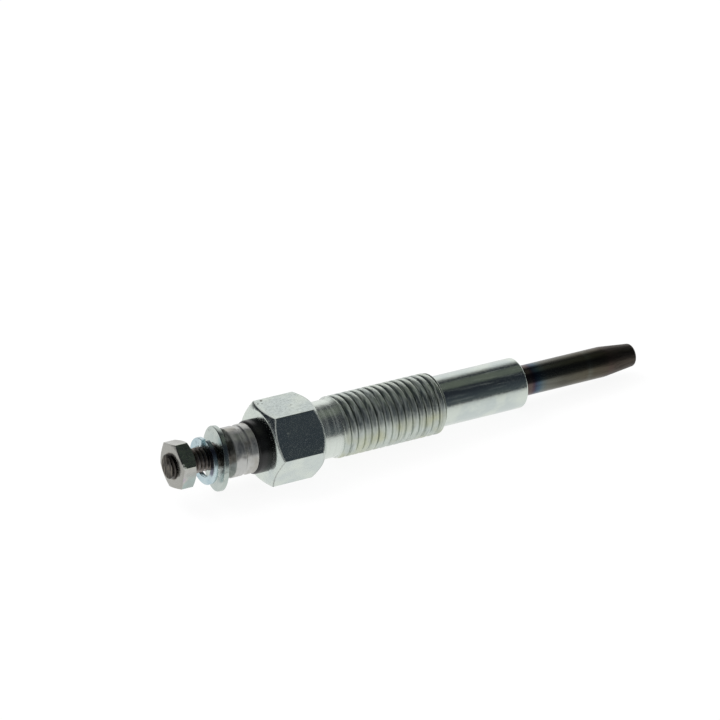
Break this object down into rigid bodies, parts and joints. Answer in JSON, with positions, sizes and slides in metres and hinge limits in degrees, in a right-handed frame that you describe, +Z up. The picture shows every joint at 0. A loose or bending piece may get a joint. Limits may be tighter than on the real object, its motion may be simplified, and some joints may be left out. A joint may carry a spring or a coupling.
{
  "type": "diesel glow plug",
  "caption": "Slim metal-sheath glow plug: hexagon housing with a fixing thread and plain shank, a dark heater sheath with a tapered tip, and a screw terminal with nut and washers.",
  "frame": {"origin": "on the plug's axis, in the middle of the housing's fixing thread", "axes": "+X along the axis from the terminal towards the hot tip, +Z up with one flat of the hexagon facing down"},
  "size_m": [0.0862, 0.0138, 0.012],
  "materials": {
    "zinc_plated_steel": "bright zinc plating over turned steel, faint greenish cast, fine scuffs",
    "heat_tinted_alloy": "dark oxidised nickel alloy with brown, violet and blue heat bands near the housing",
    "black_plastic": "moulded black plastic, satin gloss",
    "turned_ring_steel": "bright turned steel with fine lathe lines",
    "washer_zinc": "pale satin zinc plating",
    "spring_zinc": "pale blue zinc plating",
    "nut_steel": "plain warm grey steel, faint stains",
    "rod_steel": "dark brown tarnished steel with a rolled thread",
    "black_rubber": "matt moulded rubber",
    "coil_alloy": "drawn resistance wire",
    "white_powder": "matt compacted powder"
  },
  "bodies": {
    "root": {"housing": "zinc_plated_steel", "sheath_tube": "heat_tinted_alloy", "insulator_bush": "black_plastic", "press_ring": "turned_ring_steel", "plain_washer": "washer_zinc", "spring_washer": "spring_zinc", "terminal_nut": "nut_steel", "centre_rod": "rod_steel", "o_ring": "black_rubber", "sheath_seal": "black_rubber", "control_coil": "coil_alloy", "heating_coil": "coil_alloy", "magnesia_packing": "white_powder"}
  },
  "joints": []
}
